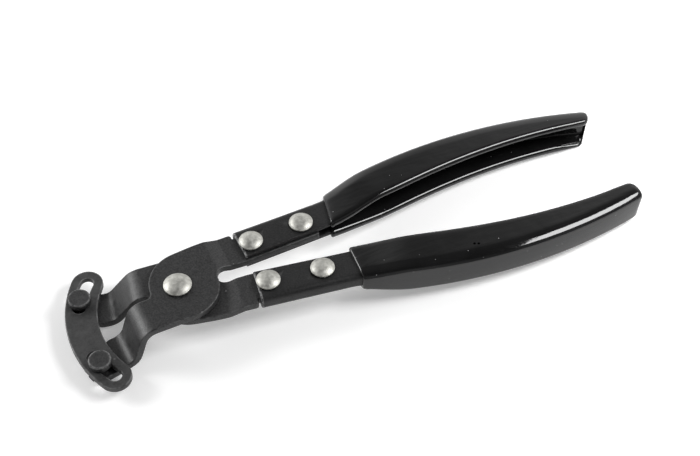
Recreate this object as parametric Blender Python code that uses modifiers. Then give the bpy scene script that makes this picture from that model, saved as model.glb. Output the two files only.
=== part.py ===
# Band-clamp pliers: two formed levers on one pivot rivet, channel handles with dipped grips,
# and a slotted guide plate that bridges the jaw ends on two headed pins.
# Row frame: +X to the handles, +Z along the pivot rivet to its domed head,
# origin on the pivot axis at the flat tail of that rivet.
import math
from types import SimpleNamespace

import bmesh
import bpy
from mathutils import Matrix, Vector

MM = 0.001
FIT = 0.3 * MM                         # gap between pieces that touch
ARC_STEP = math.radians(13)            # largest turn between two points of an arc

# Levers, cut from plate and formed
LEVER_THICKNESS = 3.0 * MM
HUB_RADIUS = 16.4 * MM                 # round of the hub towards the handles
HUB_SIDE = 16.9 * MM                   # pivot to the hub's edge on the jaw's side
HUB_JAW_REACH = 11.3 * MM              # hub edge towards the jaws, from the pivot
HUB_BACK_HALF = 18.1 * MM              # pivot to the outer edge on the handle's side
HUB_BACK_DROP = 3.5 * MM               # fall of that edge by the time it meets the jaw side
HUB_BACK_BREAK = 12.0 * MM             # where the fall begins
SHOULDER_HALF = 19.2 * MM              # outer edge at the channel's front
SHOULDER_GAP = 0.9 * MM                # lever's shoulder to the channel's front
CROTCH_RADIUS = 5.0 * MM
CROTCH_HALF = 3.3 * MM                 # tool axis to a tang's inner edge near the hub
TANG_END = 63.0 * MM
TANG_CORNER = 0.8 * MM
TANG_SIDE_GAP = 0.6 * MM               # tang to the web of its channel
TANG_PROUD = 0.9 * MM                  # tang beyond the channel's flange edges
JOGGLE_START = 17.5 * MM
JOGGLE_LENGTH = 6.0 * MM
JOGGLE_RADIUS = 3.8 * MM               # middle of the plate, at the joggle's bends
FOLD_ANGLE = math.radians(5.0)         # bends run square to a line at this angle to the axis
BLEND_RADIUS = 20.0 * MM               # where two edges of the plan run gently together

# Jaws, which step down to pads at one level
JAW_DROP = 14.3 * MM                   # middle plane of the tool to the middle of the pads
JAW_BEND_RADIUS = 6.5 * MM             # middle of the plate, at the jaws' bends
TOP_BEND = 20.0 * MM                   # pivot to the top lever's bends, along the fold line
TOP_FOOT = 25.6 * MM
BOTTOM_BEND = 16.2 * MM                # pivot to the bottom lever's bends
BOTTOM_FOOT = 26.5 * MM
TOP_OUTER_ROOT = 18.0 * MM             # tool axis to the jaw's outer edge
TOP_OUTER_FOOT = 18.8 * MM
BOTTOM_OUTER_ROOT = 17.2 * MM
BOTTOM_OUTER_FOOT = 19.7 * MM
TOP_INNER_ROOT = 2.2 * MM              # tool axis to the jaw's inner edge
TOP_INNER_SLOPE = 2.5 * MM
TOP_INNER_PAD = 3.8 * MM
BOTTOM_INNER_ROOT = 1.2 * MM
BOTTOM_INNER_SLOPE = 4.0 * MM
BOTTOM_INNER_PAD = 4.9 * MM
OUTER_ROOT_X = -14.0 * MM              # where those edges are measured
OUTER_FOOT_X = -27.0 * MM
INNER_SLOPE_X = -23.5 * MM
INNER_PAD_X = -32.0 * MM
JAW_CORNER = 6.0 * MM
PAD_RADIUS = 4.9 * MM                  # pad's round end about its pin
PAD_INNER_REACH = 6.8 * MM             # pin to the pad's edge towards the other jaw
PAD_CORNER = 2.5 * MM                  # round of the pad's corner there
CLAW_ANGLE = math.radians(21.4)        # claw tooth from the tool axis
CLAW_LENGTH = 1.6 * MM                 # tooth below the pad
CLAW_WIDTH = 3.6 * MM
CLAW_THICKNESS = 2.4 * MM

# Guide plate and the pins that ride in its slots
PIN_CIRCLE = 41.3 * MM                 # pivot to the pins and to the slots' middle line
PIN_ANGLE = math.radians(23.4)         # each pin from the tool axis
PIN_RADIUS = 2.4 * MM
PIN_HEAD_RADIUS = 4.6 * MM
PIN_HEAD_HEIGHT = 3.0 * MM
PIN_SPIGOT_RADIUS = 1.7 * MM           # reduced end in the pad
PLATE_THICKNESS = 2.5 * MM
PLATE_HALF_WIDTH = 6.6 * MM
PLATE_MIDDLE = 40.2 * MM               # pivot to the middle of the plate, on its own axis
PLATE_SHIFT = math.radians(1.3)        # plate's turn about the pivot, as it lies
SLOT_INNER_ANGLE = math.radians(18.2)  # slot ends, from the plate's own axis
SLOT_OUTER_ANGLE = math.radians(36.2)

# Handles, folded from sheet into channels
SHEET = 1.7 * MM
CHANNEL_CORNER = 2.5 * MM              # outside radius of the folds
CHANNEL_FRONT = 29.0 * MM
CHANNEL_FRONT_HALF = 19.25 * MM        # tool axis to the web at the front
HANDLE_ANGLE = math.radians(4.7)       # straight stretch, from the tool axis
KICK_ANGLE = math.radians(16.8)        # where the bowed stretch sets off
KICK_START = 66.0 * MM
KICK_LENGTH = 9.0 * MM
SQUARE_REACH = 25.0 * MM               # sections turn from square to the axis to square to the web
BOW_RADIUS = 215.0 * MM
HANDLE_END = 192.0 * MM
FLANGE_FRONT = 14.95 * MM              # flange widths along the handle
FLANGE_NECK = 14.35 * MM
FLANGE_SWELL = 15.4 * MM
FLANGE_END = 6.2 * MM
FLANGE_TAPER = 1.5                     # power of the narrowing towards the end
SWELL_X = 98.0 * MM
OPEN_HEIGHT = 12.0 * MM                # channel outside height where it is full
OPEN_START = 67.5 * MM                 # x where it begins to open
OPEN_FULL = 91.0 * MM                  # x where it is full
DRAWN_SHEET = 1.1 * MM                 # sheet drawn thinner where the channel is full

# Grips, dipped over the channels
GRIP_START = 70.5 * MM
COAT = 1.2 * MM
INNER_COAT = 0.4 * MM                  # coat inside the channel
COAT_TIP = 2.2 * MM                    # coat beyond the channel's end, at half height
TIP_LEAN = math.radians(7.4)           # the tip's upper edge stands out beyond its lower one
LIP = 0.5 * MM                         # round of the coat's front edge

# Rivets
PIVOT_SHANK_RADIUS = 3.5 * MM
PIVOT_HEAD_RADIUS = 5.8 * MM
PIVOT_HEAD_HEIGHT = 2.2 * MM
PIVOT_TAIL_RADIUS = 5.5 * MM
PIVOT_TAIL_HEIGHT = 1.6 * MM
RIVET_SHANK_RADIUS = 2.5 * MM
RIVET_HEAD_RADIUS = 5.0 * MM
RIVET_HEAD_HEIGHT = 2.0 * MM
RIVET_TAIL_RADIUS = 4.3 * MM
RIVET_TAIL_HEIGHT = 1.2 * MM
RIM_BAND = 0.7 * MM                    # straight edge of a domed head
FRONT_RIVET_X = 34.6 * MM
FRONT_RIVET_HALF = 11.0 * MM           # tool axis to the rivet
REAR_RIVET_X = 57.1 * MM
REAR_RIVET_HALF = 13.0 * MM
TURN_STEPS = 24

# Levels, from the middle plane between the two levers
MID_LEVEL = PIVOT_TAIL_HEIGHT + FIT + LEVER_THICKNESS + FIT / 2
LEVER_LEVEL = (LEVER_THICKNESS + FIT) / 2
LEVER_FACE = LEVER_THICKNESS + FIT / 2
PAD_TOP = -JAW_DROP + LEVER_THICKNESS / 2
PAD_UNDERSIDE = -JAW_DROP - LEVER_THICKNESS / 2
PLATE_UNDERSIDE = PAD_TOP + FIT
PLATE_TOP = PLATE_UNDERSIDE + PLATE_THICKNESS
CHANNEL_HEIGHT = LEVER_THICKNESS + 2 * (FIT + SHEET)

BLACK_STEEL = ((0.035, 0.035, 0.037), 0.55, 0.6)
BRIGHT_STEEL = ((0.60, 0.59, 0.56), 0.35, 1.0)
BLACK_VINYL = ((0.016, 0.016, 0.017), 0.16, 0.0)


def clear_scene():
    for old in list(bpy.data.objects):
        bpy.data.objects.remove(old, do_unlink=True)


def new_collection(name):
    group = bpy.data.collections.new(name)
    bpy.context.scene.collection.children.link(group)
    return group


def material(name, finish):
    colour, roughness, metallic = finish
    mat = bpy.data.materials.new(name)
    mat.use_nodes = True
    shader = mat.node_tree.nodes["Principled BSDF"]
    shader.inputs["Base Color"].default_value = (*colour, 1.0)
    shader.inputs["Roughness"].default_value = roughness
    shader.inputs["Metallic"].default_value = metallic
    return mat


def place(obj, group, parent=None, finish=None):
    group.objects.link(obj)
    obj.parent = parent
    if finish:
        obj.data.materials.append(material(obj.name + "_finish", finish))
    return obj


def add_empty(name, group, level):
    empty = bpy.data.objects.new(name, None)
    empty.location = (0, 0, level)
    group.objects.link(empty)
    return empty


def heading(angle):
    return Vector((math.cos(angle), math.sin(angle)))


def rounded(corners):
    """Points of a closed outline whose corners (x, y, radius) are rounded by tangent arcs."""
    count = len(corners)
    spots = [Vector(corner[:2]) for corner in corners]
    reach, turn = [], []
    for i in range(count):
        before = (spots[i - 1] - spots[i]).normalized()
        after = (spots[(i + 1) % count] - spots[i]).normalized()
        turn.append(math.pi - before.angle(after))
        reach.append(corners[i][2] * math.tan(turn[i] / 2))
    for i in range(count):             # two arcs share an edge that is too short for both
        j = (i + 1) % count
        edge = (spots[j] - spots[i]).length
        if reach[i] + reach[j] > edge:
            share = 0.999 * edge / (reach[i] + reach[j])
            reach[i], reach[j] = reach[i] * share, reach[j] * share
    points = []
    for i in range(count):
        if reach[i] < 0.01 * MM:
            points.append(spots[i])
            continue
        start = (spots[i - 1] - spots[i]).normalized() * reach[i]
        end = (spots[(i + 1) % count] - spots[i]).normalized() * reach[i]
        radius = reach[i] / math.tan(turn[i] / 2)
        centre = (start + end).normalized() * math.hypot(radius, reach[i])
        steps = max(2, math.ceil(turn[i] / ARC_STEP))
        first = start - centre
        side = 1 if first.cross(end - centre) > 0 else -1
        for k in range(steps + 1):
            swing = Matrix.Rotation(side * turn[i] * k / steps, 2)
            points.append(spots[i] + centre + swing @ first)
    return points


def strip(line, radii, thickness):
    """Outline of a plate of even thickness seen edge on, whose middle follows a bent line."""
    middle = [(Vector(line[0]), (Vector(line[1]) - Vector(line[0])).normalized())]
    for before, corner, after, radius in zip(line, line[1:], line[2:], radii):
        corner = Vector(corner)
        inward = (corner - Vector(before)).normalized()
        outward = (Vector(after) - corner).normalized()
        bend = inward.angle_signed(outward)
        steps = max(2, math.ceil(abs(bend) / ARC_STEP))
        spot = corner - inward * radius * math.tan(abs(bend) / 2)
        centre = spot + inward.orthogonal() * (-radius if bend > 0 else radius)
        for k in range(steps + 1):
            swing = Matrix.Rotation(-bend * k / steps, 2)
            middle.append((centre + swing @ (spot - centre), swing @ inward))
    middle.append((Vector(line[-1]), middle[-1][1]))
    half = thickness / 2
    upper = [spot + along.orthogonal() * half for spot, along in middle]
    lower = [spot - along.orthogonal() * half for spot, along in middle]
    return upper + lower[::-1]


def extruded(name, outline, low, high, holes=()):
    """Closed mesh of a flat outline, raised along Z from low to high."""
    curve = bpy.data.curves.new(name, "CURVE")
    curve.dimensions = "2D"
    curve.fill_mode = "BOTH"
    curve.extrude = (high - low) / 2
    for loop in (outline, *holes):
        spline = curve.splines.new("POLY")
        spline.points.add(len(loop) - 1)
        for point, spot in zip(spline.points, loop):
            point.co = (spot.x, spot.y, 0, 1)
        spline.use_cyclic_u = True
    drawn = bpy.data.objects.new(name + "_curve", curve)
    bpy.context.scene.collection.objects.link(drawn)
    graph = bpy.context.evaluated_depsgraph_get()
    mesh = bpy.data.meshes.new_from_object(drawn.evaluated_get(graph))
    mesh.name = name
    bpy.data.objects.remove(drawn)
    bpy.data.curves.remove(curve)
    edit = bmesh.new()
    edit.from_mesh(mesh)
    bmesh.ops.remove_doubles(edit, verts=edit.verts, dist=0.001 * MM)
    bmesh.ops.translate(edit, verts=edit.verts, vec=(0, 0, (low + high) / 2))
    edit.to_mesh(mesh)
    edit.free()
    return bpy.data.objects.new(name, mesh)


def turned(name, profile):
    """Solid of revolution about Z from (radius, height) points, run from top to bottom."""
    mesh = bpy.data.meshes.new(name)
    spots = [(radius, 0, height) for radius, height in profile]
    mesh.from_pydata(spots, [(i, i + 1) for i in range(len(spots) - 1)], [])
    obj = bpy.data.objects.new(name, mesh)
    screw = obj.modifiers.new("Turn", "SCREW")
    screw.steps = TURN_STEPS
    screw.render_steps = TURN_STEPS
    screw.use_merge_vertices = True
    screw.merge_threshold = 0.002 * MM
    screw.use_smooth_shade = True
    return obj


def lofted(name, rings):
    """Closed mesh through rings of as many points each, with both ends capped."""
    edit = bmesh.new()
    rows = [[edit.verts.new(spot) for spot in ring] for ring in rings]
    for row, following in zip(rows, rows[1:]):
        for i in range(len(row)):
            edit.faces.new((row[i - 1], row[i], following[i], following[i - 1]))
    edit.faces.new(rows[0])
    edit.faces.new(rows[-1])
    bmesh.ops.recalc_face_normals(edit, faces=edit.faces)
    mesh = bpy.data.meshes.new(name)
    edit.to_mesh(mesh)
    edit.free()
    return bpy.data.objects.new(name, mesh)


def combine(obj, tool, group, operation):
    tool.hide_render = True
    tool.display_type = "WIRE"
    if not tool.users_collection:
        group.objects.link(tool)
    step = obj.modifiers.new(operation.title(), "BOOLEAN")
    step.operation = operation
    step.solver = "EXACT"
    step.object = tool


def cut_hole(obj, spot, radius, tall, group, parent):
    bpy.ops.mesh.primitive_cylinder_add(vertices=TURN_STEPS, radius=radius, depth=2 * tall)
    tool = bpy.context.object
    tool.name = f"{obj.name}_hole"
    tool.users_collection[0].objects.unlink(tool)
    tool.location = (*spot, 0)
    tool.parent = parent
    combine(obj, tool, group, "DIFFERENCE")


def pin_spot(side):
    """Pin on the lever whose handle is on this side: its jaw is on the other."""
    return heading(math.pi + side * PIN_ANGLE) * PIN_CIRCLE


def rivet_spots(side):
    """Front and rear rivets of the handle on this side."""
    return (Vector((FRONT_RIVET_X, side * FRONT_RIVET_HALF)),
            Vector((REAR_RIVET_X, side * REAR_RIVET_HALF)))


def web_line(x):
    """Distance of a channel's web from the tool axis at x, and the web's angle there."""
    if x <= KICK_START:
        rise = (x - CHANNEL_FRONT) * math.tan(HANDLE_ANGLE)
        return CHANNEL_FRONT_HALF + rise, HANDLE_ANGLE
    start, _ = web_line(KICK_START)
    change = math.tan(KICK_ANGLE) - math.tan(HANDLE_ANGLE)
    run = min(x - KICK_START, KICK_LENGTH)
    rise = run * math.tan(HANDLE_ANGLE) + change * run * run / (2 * KICK_LENGTH)
    if x <= KICK_START + KICK_LENGTH:
        return start + rise, math.atan(math.tan(HANDLE_ANGLE) + change * run / KICK_LENGTH)
    swung = math.sin(KICK_ANGLE) - (x - KICK_START - KICK_LENGTH) / BOW_RADIUS
    bowed = BOW_RADIUS * (math.sqrt(1 - swung * swung) - math.cos(KICK_ANGLE))
    return start + rise + bowed, math.asin(swung)


def eased(value):
    value = min(max(value, 0.0), 1.0)
    return value * value * (3 - 2 * value)


def between(first, last, share):
    return first + (last - first) * share


def flange_width(x):
    if x <= KICK_START:
        return between(FLANGE_FRONT, FLANGE_NECK, (x - CHANNEL_FRONT) / (KICK_START - CHANNEL_FRONT))
    if x <= SWELL_X:
        return between(FLANGE_NECK, FLANGE_SWELL, eased((x - KICK_START) / (SWELL_X - KICK_START)))
    share = (x - SWELL_X) / (HANDLE_END - SWELL_X)
    return between(FLANGE_SWELL, FLANGE_END, share ** FLANGE_TAPER)


def channel_opening(x):
    """Outside height of the channel at x, and its sheet there."""
    opened = eased((x - OPEN_START) / (OPEN_FULL - OPEN_START))
    return between(CHANNEL_HEIGHT, OPEN_HEIGHT, opened), between(SHEET, DRAWN_SHEET, opened)


def channel_ring(side, x, outer=0.0, inner=0.0, end_steps=0, shift=0.0, tip_lean=0.0):
    """Section of the channel's sheet at x, grown by a coat on its outer and inner faces."""
    half, angle = web_line(x)
    height, sheet = channel_opening(x)
    high = height / 2
    width = flange_width(x)
    section = []                       # (distance in from the web's outer face, height)

    def arc(centre, reach, rise, first, last, steps):
        for k in range(steps + 1):
            at = math.radians(first + (last - first) * k / steps)
            section.append((centre[0] - reach * math.cos(at), centre[1] + rise * math.sin(at)))

    def edge(low, below, above):
        if end_steps:
            arc((width, low), outer, below, 270, 180, end_steps)
            arc((width, low + sheet), outer, above, 180, 90, end_steps)
        else:
            section.extend([(width, low), (width, low + sheet)])

    corner, outside = CHANNEL_CORNER, CHANNEL_CORNER + outer
    fold = max(corner - sheet - inner, 0.1 * MM)
    seat = sheet + inner + fold
    arc((corner, high - corner), outside, outside, 90, 0, 4)
    arc((corner, corner - high), outside, outside, 0, -90, 4)
    edge(-high, outer, inner)
    arc((seat, -high + seat), fold, fold, -90, 0, 4)
    arc((seat, high - seat), fold, fold, 0, 90, 4)
    edge(high - sheet, inner, outer)
    lean = angle * eased(abs(x - KICK_START) / SQUARE_REACH)
    along, across = heading(lean), Vector((math.sin(lean), -math.cos(lean)))
    ring = []
    for inward, level in section:
        spot = Vector((x, half)) + along * (shift + level * math.tan(tip_lean)) + across * inward
        ring.append((spot.x, side * spot.y, level))
    return ring


def stations(first, last, step):
    count = max(2, math.ceil((last - first) / step))
    return [first + (last - first) * k / count for k in range(count + 1)]


def handle_stations(first):
    """Few sections where the handle is straight, more where it kicks out and bows."""
    spots = [first] if first >= KICK_START else [first, KICK_START]
    spots += [x for x in stations(max(first, KICK_START), OPEN_FULL, 4.5 * MM)[1:]]
    return spots + stations(OPEN_FULL, HANDLE_END, 12 * MM)[1:]


def lever_outline(side, jaw):
    """Plan of a lever whose handle lies on this side of the axis."""
    shoulder = CHANNEL_FRONT - SHOULDER_GAP

    def tang_outer(x):
        rise = (x - CHANNEL_FRONT) * math.tan(HANDLE_ANGLE)
        return CHANNEL_FRONT_HALF + rise - SHEET / math.cos(HANDLE_ANGLE) - TANG_SIDE_GAP

    def tang_inner(x):
        return web_line(x)[0] - flange_width(x) / math.cos(HANDLE_ANGLE) - TANG_PROUD

    pin = pin_spot(1)
    out = pin.normalized()
    inward = Vector((out.y, -out.x))
    pad_in = pin + out * PAD_RADIUS + inward * PAD_INNER_REACH
    pad_out = pin + (out - inward) * PAD_RADIUS
    corners = [
        (TANG_END, tang_inner(TANG_END), TANG_CORNER),
        (TANG_END, tang_outer(TANG_END), TANG_CORNER),
        (shoulder, tang_outer(shoulder), TANG_CORNER / 2),
        (shoulder, SHOULDER_HALF, 1.5 * TANG_CORNER),
        (HUB_BACK_BREAK, HUB_BACK_HALF, 3 * BLEND_RADIUS),
        (-HUB_JAW_REACH, HUB_BACK_HALF - HUB_BACK_DROP, HUB_RADIUS),
        (-HUB_JAW_REACH, -jaw.inner_root, JAW_CORNER / 2),
        (INNER_SLOPE_X, -jaw.inner_slope, JAW_CORNER),
        (INNER_PAD_X, -jaw.inner_pad, JAW_CORNER),
        (*pad_in, PAD_CORNER),
        (*pad_out, PAD_RADIUS),
        (OUTER_FOOT_X, -jaw.outer_foot, JAW_CORNER),
        (OUTER_ROOT_X, -jaw.outer_root, BLEND_RADIUS),
        (0, -HUB_SIDE, BLEND_RADIUS),
        (HUB_RADIUS, -HUB_SIDE, HUB_RADIUS),
        (HUB_RADIUS, CROTCH_HALF, CROTCH_RADIUS),
        (CHANNEL_FRONT, CROTCH_HALF, BLEND_RADIUS),
    ]
    return [Vector((spot.x, side * spot.y)) for spot in rounded(corners)]


def lever_side(jaw):
    """Edge view of a lever: pad, slope, hub at its level, joggle, tang on the middle plane."""
    line = [
        (-2 * PIN_CIRCLE, -JAW_DROP),
        (-jaw.foot, -JAW_DROP),
        (-jaw.bend, jaw.level),
        (JOGGLE_START, jaw.level),
        (JOGGLE_START + JOGGLE_LENGTH, 0),
        (2 * TANG_END, 0),
    ]
    radii = (JAW_BEND_RADIUS, JAW_BEND_RADIUS, JOGGLE_RADIUS, JOGGLE_RADIUS)
    return strip(line, radii, LEVER_THICKNESS)


def claw_outline(side):
    """Plan of the tooth under the pad's outer end."""
    out = heading(math.pi + side * CLAW_ANGLE)
    across = Vector((-out.y, out.x)) * CLAW_WIDTH / 2
    tip = out * (PIN_CIRCLE + PAD_RADIUS)
    root = tip - out * CLAW_THICKNESS
    return [tip + across, root + across, root - across, tip - across]


def build_lever(name, side, jaw, parts, tools, parent):
    tall = JAW_DROP + 2 * LEVER_THICKNESS
    lever = extruded(name, lever_outline(side, jaw), -tall, tall)
    place(lever, parts, parent, BLACK_STEEL)
    wide = 2 * HUB_BACK_HALF
    formed = extruded(name + "_formed", lever_side(jaw), -wide, wide)
    upright = Matrix.Rotation(math.pi / 2, 4, "X")
    formed.data.transform(Matrix.Rotation(side * FOLD_ANGLE, 4, "Z") @ upright)
    formed.parent = parent
    combine(lever, formed, tools, "INTERSECT")
    claw = extruded(name + "_claw", claw_outline(side), PAD_UNDERSIDE - CLAW_LENGTH, -JAW_DROP)
    claw.parent = parent
    combine(lever, claw, tools, "UNION")
    cut_hole(lever, (0, 0), PIVOT_SHANK_RADIUS + FIT, tall, tools, parent)
    cut_hole(lever, pin_spot(side), PIN_SPIGOT_RADIUS + FIT, tall, tools, parent)
    for spot in rivet_spots(side):
        cut_hole(lever, spot, RIVET_SHANK_RADIUS + FIT, tall, tools, parent)


def build_handle(name, side, parts, tools, parent):
    rings = [channel_ring(side, x) for x in handle_stations(CHANNEL_FRONT)]
    handle = place(lofted(name, rings), parts, parent, BLACK_STEEL)
    for spot in rivet_spots(side):
        cut_hole(handle, spot, RIVET_SHANK_RADIUS + FIT, OPEN_HEIGHT, tools, parent)


def build_grip(name, side, parts, parent):
    skin, lining = FIT + COAT, FIT + INNER_COAT
    spots = handle_stations(GRIP_START)
    tip = [channel_ring(side, HANDLE_END, skin - inset * COAT, lining - inset * INNER_COAT, 2,
                        COAT_TIP - back, TIP_LEAN)
           for inset, back in ((0.7, 0), (0.2, 0.25 * COAT), (0, COAT))]
    outer = [channel_ring(side, x, skin, lining, 2) for x in spots[:0:-1]]
    mouth = [channel_ring(side, GRIP_START, skin, lining, 2, LIP),
             channel_ring(side, GRIP_START, skin - LIP, FIT + INNER_COAT / 2, 2)]
    cavity = [channel_ring(side, x, FIT, FIT, 2) for x in spots]
    deep = [channel_ring(side, HANDLE_END, FIT, FIT, 2, FIT)]
    place(lofted(name, tip + outer + mouth + cavity + deep), parts, parent, BLACK_VINYL)


def domed_profile(head_radius, head_height, shank_radius, seat, tail_seat, tail_radius, tail_height):
    """Domed head on its seat, shank, and a flat tail under the lower seat."""
    crown = head_height - RIM_BAND
    sphere = (head_radius ** 2 + crown ** 2) / (2 * crown)
    sweep = math.asin(head_radius / sphere)
    profile = []
    for k in range(6):
        at = sweep * k / 5
        profile.append((sphere * math.sin(at), seat + head_height - sphere * (1 - math.cos(at))))
    edge = 0.3 * tail_height
    profile += [
        (head_radius, seat),
        (shank_radius, seat),
        (shank_radius, tail_seat),
        (tail_radius, tail_seat),
        (tail_radius, tail_seat - tail_height + edge),
        (tail_radius - edge, tail_seat - tail_height),
        (0, tail_seat - tail_height),
    ]
    return profile


def build_rivets(parts, halves):
    seat = LEVER_FACE + FIT
    profile = domed_profile(PIVOT_HEAD_RADIUS, PIVOT_HEAD_HEIGHT, PIVOT_SHANK_RADIUS,
                            seat, -seat, PIVOT_TAIL_RADIUS, PIVOT_TAIL_HEIGHT)
    place(turned("pivot_rivet", profile), parts, halves[1], BRIGHT_STEEL)
    seat = CHANNEL_HEIGHT / 2 + FIT
    profile = domed_profile(RIVET_HEAD_RADIUS, RIVET_HEAD_HEIGHT, RIVET_SHANK_RADIUS,
                            seat, -seat, RIVET_TAIL_RADIUS, RIVET_TAIL_HEIGHT)
    for side, hand in ((1, "right"), (-1, "left")):
        for end, spot in zip(("front", "rear"), rivet_spots(side)):
            rivet = turned(f"{hand}_{end}_rivet", profile)
            rivet.location = (*spot, 0)
            place(rivet, parts, halves[side], BRIGHT_STEEL)


def build_pins(parts, halves):
    seat = PLATE_TOP + FIT
    bevel = 0.12 * PIN_HEAD_HEIGHT
    profile = [
        (0, seat + PIN_HEAD_HEIGHT),
        (PIN_HEAD_RADIUS - bevel, seat + PIN_HEAD_HEIGHT),
        (PIN_HEAD_RADIUS, seat + PIN_HEAD_HEIGHT - bevel),
        (PIN_HEAD_RADIUS, seat),
        (PIN_RADIUS, seat),
        (PIN_RADIUS, PAD_TOP + FIT),
        (PIN_SPIGOT_RADIUS, PAD_TOP + FIT),
        (PIN_SPIGOT_RADIUS, PAD_UNDERSIDE),
        (0, PAD_UNDERSIDE),
    ]
    for side, name in ((1, "left_guide_pin"), (-1, "right_guide_pin")):
        pin = turned(name, profile)
        pin.location = (*pin_spot(side), 0)
        place(pin, parts, halves[side], BLACK_STEEL)


def arc_band(centre_x, radius, half_width, first, last):
    """Outline of a band with round ends, along an arc about a point of the X axis, first below last."""
    def on_arc(distance, at):
        return Vector((centre_x - distance * math.cos(at), distance * math.sin(at)))

    def cap(end, start):
        steps = math.ceil(math.pi / ARC_STEP)
        turns = [start + math.pi * k / steps for k in range(1, steps)]
        return [on_arc(radius, end) + half_width * Vector((-math.cos(at), math.sin(at))) for at in turns]

    steps = max(6, math.ceil(2 * (last - first) / ARC_STEP))
    angles = [first + (last - first) * k / steps for k in range(steps + 1)]
    outer = [on_arc(radius + half_width, at) for at in angles]
    inner = [on_arc(radius - half_width, at) for at in reversed(angles)]
    return outer + cap(last, last) + inner + cap(first, first + math.pi)


def build_plate(parts, parent):
    end_x = PIN_CIRCLE * math.cos(SLOT_OUTER_ANGLE)
    end_y = PIN_CIRCLE * math.sin(SLOT_OUTER_ANGLE)
    rise = PLATE_MIDDLE - end_x
    radius = (end_y ** 2 + rise ** 2) / (2 * rise)
    spread = math.asin(end_y / radius)
    outline = arc_band(radius - PLATE_MIDDLE, radius, PLATE_HALF_WIDTH, -spread, spread)
    spans = ((SLOT_INNER_ANGLE, SLOT_OUTER_ANGLE), (-SLOT_OUTER_ANGLE, -SLOT_INNER_ANGLE))
    slots = [arc_band(0, PIN_CIRCLE, PIN_RADIUS + FIT, first, last) for first, last in spans]
    plate = extruded("guide_plate", outline, PLATE_UNDERSIDE, PLATE_TOP, slots)
    place(plate, parts, parent, BLACK_STEEL)


def main():
    clear_scene()
    parts = new_collection("band_clamp_pliers")
    tools = new_collection("cutters")
    halves = {
        1: add_empty("top_half_pivot", parts, MID_LEVEL),
        -1: add_empty("bottom_half_pivot", parts, MID_LEVEL),
    }
    swing = add_empty("plate_pivot", parts, MID_LEVEL)
    swing.rotation_euler = (0, 0, -PLATE_SHIFT)
    top_jaw = SimpleNamespace(
        level=LEVER_LEVEL, bend=TOP_BEND, foot=TOP_FOOT,
        outer_root=TOP_OUTER_ROOT, outer_foot=TOP_OUTER_FOOT,
        inner_root=TOP_INNER_ROOT, inner_slope=TOP_INNER_SLOPE, inner_pad=TOP_INNER_PAD)
    bottom_jaw = SimpleNamespace(
        level=-LEVER_LEVEL, bend=BOTTOM_BEND, foot=BOTTOM_FOOT,
        outer_root=BOTTOM_OUTER_ROOT, outer_foot=BOTTOM_OUTER_FOOT,
        inner_root=BOTTOM_INNER_ROOT, inner_slope=BOTTOM_INNER_SLOPE, inner_pad=BOTTOM_INNER_PAD)
    build_lever("top_lever", 1, top_jaw, parts, tools, halves[1])
    build_lever("bottom_lever", -1, bottom_jaw, parts, tools, halves[-1])
    for side, hand in ((1, "right"), (-1, "left")):
        build_handle(f"{hand}_handle", side, parts, tools, halves[side])
        build_grip(f"{hand}_grip", side, parts, halves[side])
    build_rivets(parts, halves)
    build_pins(parts, halves)
    build_plate(parts, swing)


main()
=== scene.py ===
import bisect
import math

import bmesh
import bpy
from mathutils import Matrix, Vector


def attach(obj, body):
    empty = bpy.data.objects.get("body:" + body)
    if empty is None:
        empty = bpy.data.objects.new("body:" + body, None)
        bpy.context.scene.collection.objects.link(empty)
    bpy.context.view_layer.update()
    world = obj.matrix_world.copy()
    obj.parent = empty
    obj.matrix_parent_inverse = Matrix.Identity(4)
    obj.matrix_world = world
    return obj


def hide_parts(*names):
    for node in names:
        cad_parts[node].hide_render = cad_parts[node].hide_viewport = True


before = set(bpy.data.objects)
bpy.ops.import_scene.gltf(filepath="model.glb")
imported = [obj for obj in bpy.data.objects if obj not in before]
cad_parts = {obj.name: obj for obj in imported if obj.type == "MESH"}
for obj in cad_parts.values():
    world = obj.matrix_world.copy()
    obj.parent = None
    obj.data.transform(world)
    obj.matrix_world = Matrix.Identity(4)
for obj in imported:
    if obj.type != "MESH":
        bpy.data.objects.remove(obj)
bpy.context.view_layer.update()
print("frame loaded, nodes:", len(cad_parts))

# every length below is in millimetres from the plane between the two levers
mm = 0.001
midLevel = 5.05  # that plane above the row's origin
fit = 0.3  # gap in place of a tight fit
leverThick = 3.0
plateThick = 2.5  # guide plate
pivotShank, handleShank, pinSpigot = 3.5, 2.5, 1.7  # radii that the levers and channels are drilled for


# small geometry helpers

def heading(degrees):
    turn = math.radians(degrees)
    return Vector((math.cos(turn), math.sin(turn)))


def eased(value):
    value = min(max(value, 0.0), 1.0)
    return value * value * (3 - 2 * value)


def between(first, last, share):
    return first + (last - first) * share


def spread(first, last, step):
    count = max(1, math.ceil(abs(last - first) / step))
    return [between(first, last, k / count) for k in range(count + 1)]


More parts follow.
